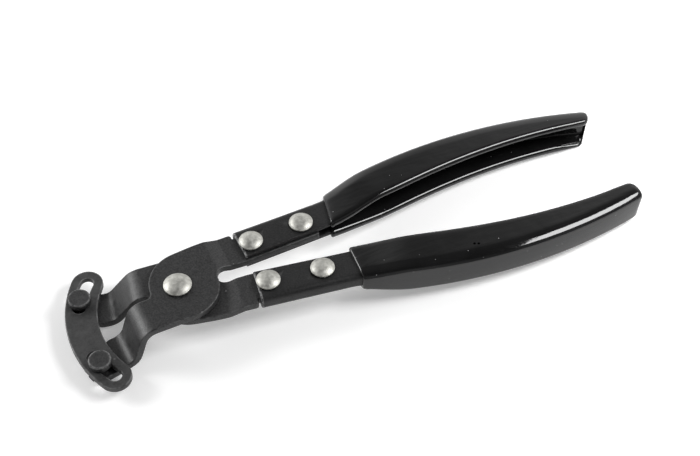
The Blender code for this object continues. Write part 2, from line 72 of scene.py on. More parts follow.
def roundCorners(corners, step=6, spare=0.995, sharp=0.02):
    # closed outline from corners (x, y, radius), each eased by a tangent arc
    spots = [Vector(corner[:2]) for corner in corners]
    count = len(spots)
    turns, reach = [], []
    for i in range(count):
        back = (spots[i - 1] - spots[i]).normalized()
        ahead = (spots[(i + 1) % count] - spots[i]).normalized()
        turns.append(math.pi - back.angle(ahead))
        reach.append(corners[i][2] * math.tan(turns[i] / 2))
    for i in range(count):
        j = (i + 1) % count
        room = (spots[j] - spots[i]).length
        if reach[i] + reach[j] > room:  # two arcs share a short edge
            share = spare * room / (reach[i] + reach[j])
            reach[i], reach[j] = reach[i] * share, reach[j] * share
    outline = []
    for i in range(count):
        if reach[i] < sharp:
            outline.append(spots[i])
            continue
        start = (spots[i - 1] - spots[i]).normalized() * reach[i]
        end = (spots[(i + 1) % count] - spots[i]).normalized() * reach[i]
        radius = reach[i] / math.tan(turns[i] / 2)
        centre = (start + end).normalized() * math.hypot(radius, reach[i])
        arm = start - centre
        sense = 1 if arm.cross(end - centre) > 0 else -1
        steps = max(3, math.ceil(math.degrees(turns[i]) / step))
        for k in range(steps + 1):
            swing = Matrix.Rotation(sense * turns[i] * k / steps, 2)
            outline.append(spots[i] + centre + swing @ arm)
    return outline


def ringLoop(centre, radius, steps=40):
    # hole loop, clockwise so that its inset runs into the metal
    return [centre + radius * heading(-360 * k / steps) for k in range(steps)]


def runsLeft(loop):
    return sum(a.cross(b) for a, b in zip(loop, loop[1:] + loop[:1])) > 0


def insetLoop(loop, distance, leastTurn=0.6):
    count = len(loop)
    moved = []
    for i in range(count):
        back = (loop[i] - loop[i - 1]).normalized()
        ahead = (loop[(i + 1) % count] - loop[i]).normalized()
        side = Vector((-back.y - ahead.y, back.x + ahead.x)).normalized()
        grow = 1 / max(leastTurn, side.dot(Vector((-back.y, back.x))))
        moved.append(loop[i] + side * distance * grow)
    return moved


def makePiece(name, mesh):
    # bmesh in tool millimetres to an object in the row frame
    bmesh.ops.transform(mesh, matrix=Matrix.Translation((0, 0, midLevel * mm)) @ Matrix.Scale(mm, 4),
                        verts=mesh.verts)
    bmesh.ops.recalc_face_normals(mesh, faces=mesh.faces)
    for face in mesh.faces:
        face.smooth = True
    data = bpy.data.meshes.new(name)
    mesh.to_mesh(data)
    mesh.free()
    piece = bpy.data.objects.new(name, data)
    bpy.context.scene.collection.objects.link(piece)
    return piece


def standFor(piece, node, body, finish):
    piece.data.materials.append(finish)
    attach(piece, body)
    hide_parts(node)


# plate stock: cut from an outline, its rims eased, then bent along fold lines

plateWear = dict(rim=((0, 0.12), (22, 0.7), (45, 1.0), (67, 0.8), (90, 0.3)),  # turn of the round, and its rub
                 tooth=((0, 0.4), (30, 0.9), (60, 1.0), (90, 0.4)), skirt=0.3, bend=0.55, bendSpread=2.2)


def bendWear(along, bends):
    # paint rubs thin along a bend too
    most, reach = plateWear["bend"], plateWear["bendSpread"]
    return max([0.0] + [most * math.exp(-((along - bend) / reach) ** 2) for bend in bends])


def bentPlate(outline, holes, rimRound, topAt, underAt, cuts=(), foldTurn=0.0, tooth=None, bends=()):
    flat = bmesh.new()
    rub = flat.verts.layers.float.new("edgeRub")
    fillEdges = []
    for loop in [outline if runsLeft(outline) else outline[::-1]] + list(holes):
        rings = []
        for turn, worn in plateWear["rim"]:
            at = math.radians(turn)
            inset, depth = rimRound * (1 - math.cos(at)), rimRound * (1 - math.sin(at))
            rings.append(([flat.verts.new((p.x, p.y, depth)) for p in insetLoop(loop, inset)], worn))
        skirt = insetLoop(loop, rimRound + plateWear["skirt"])
        rings.append(([flat.verts.new((p.x, p.y, 0)) for p in skirt], 0.0))
        for ring, worn in rings:
            for spot in ring:
                spot[rub] = worn
        for (ring, _), (inner, _) in zip(rings, rings[1:]):
            for i in range(len(ring)):
                flat.faces.new((ring[i - 1], ring[i], inner[i], inner[i - 1]))
        inner = rings[-1][0]
        fillEdges += [flat.edges.get((inner[i - 1], inner[i])) for i in range(len(inner))]
    if tooth:
        ring = [flat.verts.new((p.x, p.y, 0)) for p in tooth["plan"]]
        fillEdges += [flat.edges.new((ring[i - 1], ring[i])) for i in range(len(ring))]
    bmesh.ops.triangle_fill(flat, use_beauty=True, edges=fillEdges, normal=(0, 0, 1))
    crown = flat.faces.new(ring) if tooth else None
    fold = Vector((math.cos(foldTurn), math.sin(foldTurn), 0))
    for cut in cuts:
        bmesh.ops.bisect_plane(flat, geom=flat.verts[:] + flat.edges[:] + flat.faces[:],
                               plane_co=fold * cut, plane_no=fold, dist=0.0005)
    solid = bmesh.new()
    solidRub = solid.verts.layers.float.new("edgeRub")
    upper, lower = {}, {}
    for spot in flat.verts:
        along = spot.co.dot(fold)
        for side, at, sense in ((upper, topAt, -1), (lower, underAt, 1)):
            level, steep = at(along)
            made = solid.verts.new((spot.co.x, spot.co.y, level + sense * spot.co.z * steep))
            made[solidRub] = max(spot[rub], bendWear(along, bends) if side is upper else 0.0)
            side[spot] = made
    for face in flat.faces:
        solid.faces.new([upper[v] for v in face.verts])
        if face is not crown:
            solid.faces.new([lower[v] for v in reversed(face.verts)])
            continue
        row, edge = [lower[v] for v in ring], tooth["edge"]
        for turn, worn in plateWear["tooth"]:  # tooth below the plate, its edge eased
            at = math.radians(turn)
            low = tooth["low"] + edge * (1 - math.sin(at))
            following = [solid.verts.new((p.x + tooth["lean"].x, p.y + tooth["lean"].y, low))
                         for p in insetLoop(tooth["plan"], edge * (1 - math.cos(at)))]
            for i in range(len(row)):
                following[i][solidRub] = worn
                solid.faces.new((row[i - 1], row[i], following[i], following[i - 1]))
            row = following
        solid.faces.new(row)
    for edge in flat.edges:
        if len(edge.link_faces) == 1:
            a, b = edge.verts
            solid.faces.new((upper[a], upper[b], lower[b], lower[a]))
    flat.free()
    return solid


def levelAt(height):
    return lambda along: (height, 1.0)


def profileAt(points):
    # height and steepness of a bent face, read along the fold direction
    stations = [p.x for p in points]

    def read(along):
        i = min(max(bisect.bisect_right(stations, along), 1), len(points) - 1)
        a, b = points[i - 1], points[i]
        run = max(b.x - a.x, 1e-6)
        return a.y + (b.y - a.y) * (along - a.x) / run, math.hypot(run, b.y - a.y) / run
    return read


def bentProfile(line, radii, thick, step=4):
    # upper and lower faces of a plate whose middle follows a bent line
    middle = [(Vector(line[0]), (Vector(line[1]) - Vector(line[0])).normalized())]
    for before, corner, after, radius in zip(line, line[1:], line[2:], radii):
        corner = Vector(corner)
        inward = (corner - Vector(before)).normalized()
        outward = (Vector(after) - corner).normalized()
        bend = inward.cross(outward)
        turn = inward.angle(outward) * (1 if bend > 0 else -1)
        spot = corner - inward * radius * math.tan(abs(turn) / 2)
        left = Vector((-inward.y, inward.x))
        centre = spot + left * radius * (1 if turn > 0 else -1)
        steps = max(3, math.ceil(abs(math.degrees(turn)) / step))
        for k in range(steps + 1):
            swing = Matrix.Rotation(turn * k / steps, 2)
            middle.append((centre + swing @ (spot - centre), swing @ inward))
    middle.append((Vector(line[-1]), middle[-1][1]))
    half = thick / 2
    top = [spot + Vector((-run.y, run.x)) * half for spot, run in middle]
    under = [spot - Vector((-run.y, run.x)) * half for spot, run in middle]
    return top, under


# turned stock: rivets and pins

def turnedPiece(profile, centre, steps=72):
    # profile runs (radius, height, rub) from the top of the axis to the bottom of it
    mesh = bmesh.new()
    rub = mesh.verts.layers.float.new("edgeRub")
    rows = []
    for radius, height, worn in profile:
        spots = [Vector((0, 0))] if radius < 1e-6 else [radius * heading(360 * k / steps) for k in range(steps)]
        row = [mesh.verts.new((centre.x + p.x, centre.y + p.y, height)) for p in spots]
        for spot in row:
            spot[rub] = worn
        rows.append(row)
    for row, nextRow in zip(rows, rows[1:]):
        for i in range(steps):
            if len(row) == 1:
                mesh.faces.new((row[0], nextRow[i - 1], nextRow[i]))
            elif len(nextRow) == 1:
                mesh.faces.new((row[i], row[i - 1], nextRow[0]))
            else:
                mesh.faces.new((row[i - 1], nextRow[i - 1], nextRow[i], row[i]))
    return mesh


def softEdge(corner, radius, first, last, worn, steps=5):
    # quarter round in a turned profile about a corner's centre
    points = []
    for k in range(steps + 1):
        at = math.radians(between(first, last, k / steps))
        points.append((corner[0] + radius * math.cos(at), corner[1] + radius * math.sin(at), worn))
    return points


# shader node groups, shared by the finishes

def newGroup(name, inputs, outputs):
    group = bpy.data.node_groups.new(name, "ShaderNodeTree")
    for label, value in inputs.items():
        group.interface.new_socket(label, in_out="INPUT", socket_type="NodeSocketFloat").default_value = value
    for label in outputs:
        group.interface.new_socket(label, in_out="OUTPUT", socket_type="NodeSocketFloat")
    return group, group.nodes.new("NodeGroupInput"), group.nodes.new("NodeGroupOutput")


def addNode(tree, kind, values=None, **settings):
    node = tree.nodes.new(kind)
    for name, value in settings.items():
        setattr(node, name, value)
    for name, value in (values or {}).items():
        node.inputs[name].default_value = value
    return node


def join(tree, pairs):
    for source, target in pairs:
        tree.links.new(source, target)


def remap(tree, value, low, high, toLow, toHigh):
    node = addNode(tree, "ShaderNodeMapRange",
                   {"From Min": low, "From Max": high, "To Min": toLow, "To Max": toHigh})
    tree.links.new(value, node.inputs["Value"])
    return node.outputs["Result"]


def combine(tree, operation, first, second, clamp=False):
    node = addNode(tree, "ShaderNodeMath", operation=operation, use_clamp=clamp)
    for socket, value in zip(node.inputs, (first, second)):
        if isinstance(value, float):
            socket.default_value = value
        else:
            tree.links.new(value, socket)
    return node.outputs["Value"]


def makeSurfaceGrain():
    group, given, result = newGroup("surfaceGrain", {"Grain Scale": 2400.0, "Patch Scale": 70.0},
                                    ("Grain", "Patches"))
    place = addNode(group, "ShaderNodeTexCoord")
    grain = addNode(group, "ShaderNodeTexNoise", {"Detail": 3.0, "Roughness": 0.6})
    patches = addNode(group, "ShaderNodeTexNoise", {"Detail": 4.0, "Roughness": 0.55, "Distortion": 0.4})
    for node, scale, out in ((grain, "Grain Scale", "Grain"), (patches, "Patch Scale", "Patches")):
        join(group, ((place.outputs["Object"], node.inputs["Vector"]),
                     (given.outputs[scale], node.inputs["Scale"]),
                     (node.outputs["Fac"], result.inputs[out])))
    return group


def makeEdgeRub():
    group, given, result = newGroup("edgeRub", {"Amount": 0.5, "Breakup Scale": 260.0}, ("Rub",))
    place = addNode(group, "ShaderNodeTexCoord")
    worn = addNode(group, "ShaderNodeAttribute", attribute_name="edgeRub")
    breakup = addNode(group, "ShaderNodeTexNoise", {"Detail": 5.0, "Roughness": 0.65})
    join(group, ((place.outputs["Object"], breakup.inputs["Vector"]),
                 (given.outputs["Breakup Scale"], breakup.inputs["Scale"])))
    patchy = remap(group, breakup.outputs["Fac"], 0.40, 0.64, 0, 1)
    both = combine(group, "MULTIPLY", worn.outputs["Fac"], patchy)
    rub = combine(group, "MULTIPLY", both, given.outputs["Amount"], True)
    group.links.new(rub, result.inputs["Rub"])
    return group


def makeLintSpecks():
    group, given, result = newGroup("lintSpecks", {"Scale": 160.0, "Size": 0.07}, ("Specks",))
    place = addNode(group, "ShaderNodeTexCoord")
    cells = addNode(group, "ShaderNodeTexVoronoi", {"Randomness": 1.0})
    split = addNode(group, "ShaderNodeSeparateColor")
    join(group, ((place.outputs["Object"], cells.inputs["Vector"]),
                 (given.outputs["Scale"], cells.inputs["Scale"]),
                 (cells.outputs["Color"], split.inputs["Color"])))
    near = combine(group, "LESS_THAN", cells.outputs["Distance"], given.outputs["Size"])
    chosen = combine(group, "GREATER_THAN", split.outputs["Red"], 0.80)  # one cell in five has a speck
    group.links.new(combine(group, "MULTIPLY", near, chosen), result.inputs["Specks"])
    return group


def makePitShadeGroup(spots, radius):
    # mask of a few small pits at set places; the pits are not cut in, and their dark insides are painted shade
    group, given, result = newGroup("pitShadeGroup", {"Radius": radius}, ("Pit Shade",))
    place = addNode(group, "ShaderNodeTexCoord")
    nearest = 1.0
    for spot in spots:
        away = addNode(group, "ShaderNodeVectorMath", {1: spot}, operation="DISTANCE")
        group.links.new(place.outputs["Object"], away.inputs[0])
        nearest = combine(group, "MINIMUM", away.outputs["Value"], nearest)
    share = combine(group, "DIVIDE", nearest, given.outputs["Radius"])
    group.links.new(remap(group, share, 0.7, 1.0, 1, 0), result.inputs["Pit Shade"])
    return group


surfaceGrain = makeSurfaceGrain()
edgeRub = makeEdgeRub()
lintSpecks = makeLintSpecks()
pitSpots = ((0.1179, -0.0264, 0.01295), (0.1195, -0.0270, 0.01295))  # on the left grip's top, in metres
# the pits' shade is painted from this mask, as near-black unglossy spots
pitShadeGroup = makePitShadeGroup(pitSpots, 0.00065)


# finishes

def newFinish(name):
    finish = bpy.data.materials.new(name)
    finish.use_nodes = True
    return finish, finish.node_tree, finish.node_tree.nodes["Principled BSDF"]


def mixColours(tree, mask, first, second):
    mix = addNode(tree, "ShaderNodeMix", data_type="RGBA")
    tree.links.new(mask, mix.inputs[0])
    for socket, colour in ((mix.inputs[6], first), (mix.inputs[7], second)):
        if isinstance(colour, tuple):
            socket.default_value = (*colour, 1)
        else:
            tree.links.new(colour, socket)
    return mix.outputs[2]


def grainFor(tree, look):
    return addNode(tree, "ShaderNodeGroup", {"Grain Scale": look["grainScale"], "Patch Scale": look["patchScale"]},
                   node_tree=surfaceGrain)


def dress(tree, shader, look, colour, rough, height):
    # colour, roughness and bump into the shader
    rough = remap(tree, rough, 0.3, 0.7, look["roughLow"], look["roughHigh"])
    bump = addNode(tree, "ShaderNodeBump", {"Strength": look["bump"], "Distance": look["bumpDepth"]})
    join(tree, ((colour, shader.inputs["Base Color"]), (rough, shader.inputs["Roughness"]),
                (height, bump.inputs["Height"]), (bump.outputs["Normal"], shader.inputs["Normal"])))
    return bump


def blackSteel(name, look):
    finish, tree, shader = newFinish(name)
    grain = grainFor(tree, look)
    rub = addNode(tree, "ShaderNodeGroup", {"Amount": look["rubAmount"], "Breakup Scale": look["rubBreakup"]},
                  node_tree=edgeRub)
    specks = addNode(tree, "ShaderNodeGroup", node_tree=lintSpecks)
    patchy = remap(tree, grain.outputs["Patches"], 0.3, 0.7, 0, 1)
    colour = mixColours(tree, patchy, look["dark"], look["pale"])
    fine = remap(tree, grain.outputs["Grain"], 0.35, 0.75, 0, look["grainShow"])
    colour = mixColours(tree, fine, colour, look["grainColour"])
    colour = mixColours(tree, specks.outputs["Specks"], colour, look["speckColour"])
    colour = mixColours(tree, rub.outputs["Rub"], colour, look["rubColour"])
    dress(tree, shader, look, colour, grain.outputs["Grain"], grain.outputs["Grain"])
    shader.inputs["Specular IOR Level"].default_value = look["specular"]
    return finish


def grey(level):
    return level, level, level


leverLook = dict(dark=(0.003, 0.003, 0.0031), pale=(0.008, 0.008, 0.0082), grainColour=(0.046, 0.046, 0.047),
                 grainShow=0.75, speckColour=grey(0.10), rubColour=grey(0.16), rubAmount=0.5, rubBreakup=240.0,
                 grainScale=1500.0, patchScale=90.0, roughLow=0.35, roughHigh=0.50, bump=0.52, bumpDepth=0.0002,
                 specular=0.46)
channelLook = dict(leverLook, pale=(0.007, 0.007, 0.0072), grainColour=(0.020, 0.020, 0.0205), specular=0.36,
                   rubColour=grey(0.42), rubAmount=1.0, rubBreakup=420.0, roughLow=0.34, roughHigh=0.46)
plateLook = dict(leverLook, dark=grey(0.014), pale=grey(0.044), patchScale=330.0, rubColour=grey(0.24),
                 rubAmount=0.85, roughLow=0.42, roughHigh=0.56)
pinLook = dict(leverLook, dark=(0.002, 0.002, 0.0021), pale=(0.020, 0.020, 0.0204), patchScale=420.0,
               rubColour=grey(0.30), rubAmount=0.6, rubBreakup=300.0)
leverBlack = blackSteel("leverBlack", leverLook)
channelBlack = blackSteel("channelBlack", channelLook)
plateBlack = blackSteel("plateBlack", plateLook)
pinBlack = blackSteel("pinBlack", pinLook)


def satinSteel(name, look):
    finish, tree, shader = newFinish(name)
    grain = grainFor(tree, look)
    patchy = remap(tree, grain.outputs["Patches"], 0.32, 0.68, 0, 1)
    colour = mixColours(tree, patchy, look["dark"], look["pale"])
    dress(tree, shader, look, colour, grain.outputs["Patches"], grain.outputs["Grain"])
    shader.inputs["Metallic"].default_value = 1.0
    return finish


rivetLook = dict(dark=(0.37, 0.367, 0.340), pale=(0.58, 0.576, 0.54), grainScale=1700.0, patchScale=700.0,
                 roughLow=0.46, roughHigh=0.58, bump=0.08, bumpDepth=0.0003)
rivetSteel = satinSteel("rivetSteel", rivetLook)


def dippedVinyl(name, look):
    finish, tree, shader = newFinish(name)
    grain = grainFor(tree, look)
    specks = addNode(tree, "ShaderNodeGroup", {"Scale": look["speckScale"], "Size": look["speckSize"]},
                     node_tree=lintSpecks)
    pitShadeNode = addNode(tree, "ShaderNodeGroup", node_tree=pitShadeGroup)
    patchy = remap(tree, grain.outputs["Patches"], 0.3, 0.7, 0, 1)
    colour = mixColours(tree, patchy, look["dark"], look["pale"])
    colour = mixColours(tree, specks.outputs["Specks"], colour, look["speckColour"])
    # painted shade: the pits are coloured near-black where their insides would be shaded
    colour = mixColours(tree, pitShadeNode.outputs["Pit Shade"], colour, look["pitShadeTint"])
    bump = dress(tree, shader, look, colour, grain.outputs["Grain"], grain.outputs["Patches"])
    place = addNode(tree, "ShaderNodeTexCoord")
    drawn = addNode(tree, "ShaderNodeMapping", {"Scale": look["waveStretch"]})  # the waves run along the grip
    waves = addNode(tree, "ShaderNodeTexNoise", {"Scale": look["waveScale"], "Detail": 2.0, "Roughness": 0.5})
    swell = addNode(tree, "ShaderNodeBump", {"Strength": look["wave"], "Distance": look["waveDepth"]})
    # the painted pit shade also takes the gloss off these spots
    shine = remap(tree, pitShadeNode.outputs["Pit Shade"], 0, 1, look["specular"], 0)
    join(tree, ((place.outputs["Object"], drawn.inputs["Vector"]),
                (drawn.outputs["Vector"], waves.inputs["Vector"]),
                (waves.outputs["Fac"], swell.inputs["Height"]),
                (swell.outputs["Normal"], bump.inputs["Normal"]),
                (shine, shader.inputs["Specular IOR Level"])))
    return finish


# the pit colour below is painted shade for the pits' insides, nearly black
vinylLook = dict(dark=(0.005, 0.005, 0.0051), pale=(0.008, 0.008, 0.0082), speckColour=grey(0.20), speckScale=420.0,
                 speckSize=0.09, pitShadeTint=grey(0.0008), grainScale=900.0, patchScale=110.0, roughLow=0.05,
                 roughHigh=0.10, bump=0.12, bumpDepth=0.0004, wave=0.07, waveDepth=0.0006, waveScale=420.0,
                 waveStretch=(0.12, 1.0, 1.0), specular=0.5)
gripVinyl = dippedVinyl("gripVinyl", vinylLook)
print("finishes ready")


# levers

jawShape = dict(drop=14.3, bendRadii=(6.5, 6.5, 3.8, 3.8), foldTurn=5.0, lineEnd=90.0, pinCircle=41.3, pinTurn=23.4,
                padRadius=4.9, padReach=6.8, padCorner=2.5, outerRootX=-14.0, outerFootX=-27.0,
                innerSlopeX=-23.5, innerPadX=-32.0, rootRound=3.0, slopeRound=6.0)
leverShape = dict(hubRadius=16.4, hubSide=16.9, hubJawReach=11.3, hubBackHalf=18.1, hubBackDrop=3.5,
                  hubBackBreak=12.0, shoulderHalf=19.2, shoulderX=28.1, crotchRadius=5.0, crotchHalf=3.3,
                  tangEnd=63.0, tangSideGap=0.6, tangProud=0.9, tangCorner=0.8, tangRoot=0.5, shoulderCorner=1.2,
                  backRound=60.0, sideRound=20.0, joggleStart=17.5, joggleLength=6.0, rimRound=0.42)
topJaw = dict(level=1.65, bend=20.0, foot=25.6, outerRoot=18.0, outerFoot=18.8,
              innerRoot=2.2, innerSlope=2.5, innerPad=3.8)
bottomJaw = dict(level=-1.65, bend=16.2, foot=26.5, outerRoot=17.2, outerFoot=19.7,
                 innerRoot=1.2, innerSlope=4.0, innerPad=4.9)
clawShape = dict(turn=21.4, length=1.6, width=3.6, thick=2.4, back=0.8, corner=0.5, cornerStep=18, edge=0.3)
handleShape = dict(front=29.0, frontHalf=19.25, turn=4.7, kickTurn=16.8, kickStart=66.0, kickLength=9.0,
                   squareReach=25.0, bowRadius=215.0, end=192.0, sheet=1.7, corner=2.5,
                   flangeFront=14.95, flangeNeck=14.35, flangeSwell=15.4, flangeEnd=6.2, swellX=98.0, taper=1.5,
                   narrowHeight=7.0, fullHeight=12.0, openX=67.5, fullX=91.0, drawnSheet=1.1, topRise=0.4,
                   rightTopTrim=0.8, foldGrow=0.15, crownGrow=0.65, droop=0.6, droopInner=2.2, droopReach=14.0,
                   rimRoom=1.0, frontStep=6.0)
rivetSpots = ((34.6, 11.0), (57.1, 13.0))  # x and distance from the tool axis


def webLine(x):
    # distance of a channel's web from the tool axis, and its angle there
    h = handleShape
    slope, kick = math.tan(math.radians(h["turn"])), math.tan(math.radians(h["kickTurn"]))
    if x <= h["kickStart"]:
        return h["frontHalf"] + (x - h["front"]) * slope, math.radians(h["turn"])
    start = h["frontHalf"] + (h["kickStart"] - h["front"]) * slope
    run = min(x - h["kickStart"], h["kickLength"])
    rise = run * slope + (kick - slope) * run * run / (2 * h["kickLength"])
    if x <= h["kickStart"] + h["kickLength"]:
        return start + rise, math.atan(slope + (kick - slope) * run / h["kickLength"])
    first = math.sin(math.radians(h["kickTurn"]))
    swung = first - (x - h["kickStart"] - h["kickLength"]) / h["bowRadius"]
    bowed = h["bowRadius"] * (math.sqrt(1 - swung * swung) - math.sqrt(1 - first * first))
    return start + rise + bowed, math.asin(swung)


def flangeWidth(x):
    h = handleShape
    if x <= h["kickStart"]:
        return between(h["flangeFront"], h["flangeNeck"], (x - h["front"]) / (h["kickStart"] - h["front"]))
    if x <= h["swellX"]:
        share = eased((x - h["kickStart"]) / (h["swellX"] - h["kickStart"]))
        return between(h["flangeNeck"], h["flangeSwell"], share)
    share = min((x - h["swellX"]) / (h["end"] - h["swellX"]), 1.0)
    return between(h["flangeSwell"], h["flangeEnd"], share ** h["taper"])


def pinSpot(side):
    # pin on the lever whose handle is on this side; its jaw is on the other
    return heading(180 + side * jawShape["pinTurn"]) * jawShape["pinCircle"]


def leverOutline(side, jaw):
    s, j, h = leverShape, jawShape, handleShape
    slope = math.radians(h["turn"])

    def tangOuter(x):
        return webLine(x)[0] - h["sheet"] / math.cos(slope) - s["tangSideGap"]

    def tangInner(x):
        return webLine(x)[0] - flangeWidth(x) / math.cos(slope) - s["tangProud"]

    pin = pinSpot(1)
    out = pin.normalized()
    inward = Vector((out.y, -out.x))
    padIn = pin + out * j["padRadius"] + inward * j["padReach"]
    padOut = pin + (out - inward) * j["padRadius"]
    corners = [  # x, y and radius
        (s["tangEnd"], tangInner(s["tangEnd"]), s["tangCorner"]),
        (s["tangEnd"], tangOuter(s["tangEnd"]), s["tangCorner"]),
        (s["shoulderX"], tangOuter(s["shoulderX"]), s["tangRoot"]),
        (s["shoulderX"], s["shoulderHalf"], s["shoulderCorner"]),
        (s["hubBackBreak"], s["hubBackHalf"], s["backRound"]),
        (-s["hubJawReach"], s["hubBackHalf"] - s["hubBackDrop"], s["hubRadius"]),
        (-s["hubJawReach"], -jaw["innerRoot"], j["rootRound"]),
        (j["innerSlopeX"], -jaw["innerSlope"], j["slopeRound"]),
        (j["innerPadX"], -jaw["innerPad"], j["slopeRound"]),
        (*padIn, j["padCorner"]),
        (*padOut, j["padRadius"]),
        (j["outerFootX"], -jaw["outerFoot"], j["slopeRound"]),
        (j["outerRootX"], -jaw["outerRoot"], s["sideRound"]),
        (0, -s["hubSide"], s["sideRound"]),
        (s["hubRadius"], -s["hubSide"], s["hubRadius"]),
        (s["hubRadius"], s["crotchHalf"], s["crotchRadius"]),
        (h["front"], s["crotchHalf"], s["sideRound"]),
    ]
    return [Vector((p.x, side * p.y)) for p in roundCorners(corners)]


def clawTooth(side):
    # tooth below the pad's outer end
    c, j = clawShape, jawShape
    out = heading(180 + side * c["turn"])
    across = Vector((-out.y, out.x)) * c["width"] / 2
    tip = out * (j["pinCircle"] + j["padRadius"] - c["back"])
    root = tip - out * c["thick"]
    plan = roundCorners([(*(tip + across), c["corner"]), (*(root + across), c["corner"]),
                         (*(root - across), c["corner"]), (*(tip - across), c["corner"])], c["cornerStep"])
    return dict(plan=plan if runsLeft(plan) else plan[::-1], edge=c["edge"], lean=out * c["back"],
                low=-j["drop"] - leverThick / 2 - c["length"])


def makeLever(name, side, jaw):
    s, j = leverShape, jawShape
    line = [(-j["lineEnd"], -j["drop"]), (-jaw["foot"], -j["drop"]), (-jaw["bend"], jaw["level"]),
            (s["joggleStart"], jaw["level"]), (s["joggleStart"] + s["joggleLength"], 0), (j["lineEnd"], 0)]
    top, under = bentProfile(line, j["bendRadii"], leverThick)
    cuts = sorted({round(p.x, 3) for p in top[1:-1] + under[1:-1]})
    holes = [ringLoop(Vector((0, 0)), pivotShank + fit), ringLoop(pinSpot(side), pinSpigot + fit, steps=32)]
    holes += [ringLoop(Vector((x, side * half)), handleShank + fit, steps=32) for x, half in rivetSpots]
    mesh = bentPlate(leverOutline(side, jaw), holes, s["rimRound"], profileAt(top), profileAt(under), cuts,
                     side * math.radians(j["foldTurn"]), clawTooth(side), (-jaw["bend"], -jaw["foot"]))
    return makePiece(name, mesh)


standFor(makeLever("topLever", 1, topJaw), "top_lever", "top_half", leverBlack)
standFor(makeLever("bottomLever", -1, bottomJaw), "bottom_lever", "bottom_half", leverBlack)
print("levers bent")


# channel handles and their dipped grips

sectionShape = dict(foldSteps=12, edgeSteps=6, edgeSpare=0.01, leastNook=0.2, droopingSkin=0.5, droopEdge=0.5,
                    topHolds=(0.12, 0.88))


def channelSection(x, skin, inner, edge, shift, trim, topTrim):
    # closed section of the sheet, as (distance in from the web's outer face, height)
    # it is grown by skin outside and by inner inside
    h, c = handleShape, sectionShape
    opened = eased((x - h["openX"]) / (h["fullX"] - h["openX"]))
    high = between(h["narrowHeight"], h["fullHeight"], opened) / 2
    rise = h["topRise"] * opened
    width = flangeWidth(x) - trim
    sheet = between(h["sheet"], h["drawnSheet"], opened)  # drawn thinner where the channel opens
    edge = min(edge, (sheet + skin + inner) / 2 - c["edgeSpare"])
    fold = h["corner"] + h["foldGrow"] * skin
    crown = 1 + h["crownGrow"] * max(skin, 0)  # a dipped fold is flatter on top than on its side
    droop = 0.0
    if skin > c["droopingSkin"]:  # only a grip's outside droops
        droop = eased((x + shift - h["end"] + h["droopReach"]) / h["droopReach"])
    nook = max(h["corner"] - sheet - inner, c["leastNook"])
    fine, few = c["foldSteps"], c["edgeSteps"]
    section = []

    def arc(across, level, radius, first, last, steps, stretch=1.0):
        for k in range(steps + 1):
            at = math.radians(between(first, last, k / steps))
            section.append((across - radius * stretch * math.cos(at), level + radius * math.sin(at)))

    low, top = -high - skin, high + rise + skin
    lowInner, topInner = -high + sheet + inner, high + rise - sheet - inner
    lowTip, topTip = width + skin - edge, width - topTrim * opened + skin - edge
    arc(fold * crown - skin, top - fold, fold, 90, 0, fine, crown)
    arc(fold * crown - skin, low + fold, fold, 0, -90, fine, crown)
    lowEdge = edge * (1 - c["droopEdge"] * droop)
    slope = math.degrees(math.atan2(h["droopInner"] * droop, lowTip - sheet - inner - nook))
    arc(lowTip, low + lowEdge - h["droop"] * droop, lowEdge, 270, 180, few)
    arc(lowTip, lowInner - lowEdge - h["droopInner"] * droop, lowEdge, 180, 90 + slope, few)
    arc(sheet + inner + nook, lowInner + nook, nook, -90 - slope, 0, few)
    arc(sheet + inner + nook, topInner - nook, nook, 0, 90, few)
    arc(topTip, topInner + edge, edge, 270, 180, few)
    arc(topTip, top - edge, edge, 180, 90, few)
    section += [(between(topTip, fold * crown - skin, share), top) for share in c["topHolds"]]  # hold the top flat
    return section


def channelRing(side, x, skin=0.0, inner=0.0, edge=0.3, shift=0.0, lean=0.0, slant=0.0, trim=0.0):
    half, turn = webLine(x)
    turn *= eased(abs(x - handleShape["kickStart"]) / handleShape["squareReach"])
    along, across = Vector((math.cos(turn), math.sin(turn))), Vector((math.sin(turn), -math.cos(turn)))
    topTrim = handleShape["rightTopTrim"] if side > 0 else 0.0
    ring = []
    for inward, level in channelSection(x, skin, inner, edge, shift, trim, topTrim):
        spot = Vector((x, half)) + along * (shift + level * lean + inward * slant) + across * inward
        ring.append((spot.x, side * spot.y, level))
    return ring


def loftRings(rings, worn):
    mesh = bmesh.new()
    rub = mesh.verts.layers.float.new("edgeRub")
    rows = []
    for ring, amount in zip(rings, worn):
        row = [mesh.verts.new(spot) for spot in ring]
        for spot in row:
            spot[rub] = amount
        rows.append(row)
    for row, following in zip(rows, rows[1:]):
        for i in range(len(row)):
            mesh.faces.new((row[i - 1], row[i], following[i], following[i - 1]))
    mesh.faces.new(rows[0])
    mesh.faces.new(rows[-1])
    return mesh


def handleStations(first, fine, coarse):
    h = handleShape
    spots = [first] if first >= h["kickStart"] else spread(first + h["rimRoom"], h["kickStart"], h["frontStep"])
    spots += spread(max(first, h["kickStart"]), h["fullX"], fine)[1:]
    return spots + spread(h["fullX"], h["end"], coarse)[1:]


channelShape = dict(rim=0.45, edge=0.35, rimWear=((90, 0.3), (60, 1.0), (30, 1.0), (0, 0.8)), fineStep=3.0,
                    coarseStep=6.0, drillLong=30.0, drillSides=40)
gripShape = dict(start=70.5, coat=1.2, innerCoat=0.4, leastInner=0.1, edge=1.6, fineStep=1.5, coarseStep=3.0,
                 lip=0.9, lipTurns=(0, 30, 60, 90), lipRoom=0.8, mouthSlant={1: -0.16, -1: -0.02}, slantReach=9.0,
                 tip=2.2, tipCorner=3.6, tipTurns=(84, 70, 55, 40, 25, 10), tipTrim=0.75, tipShrink=0.8,
                 shrinkPower=1.5, tipLean={1: 0.08, -1: 0.15}, leanStart=12.0, leanReach=8.0,
                 liner=0.02, linerEdge=0.3, linerFine=5.0, linerCoarse=9.0)


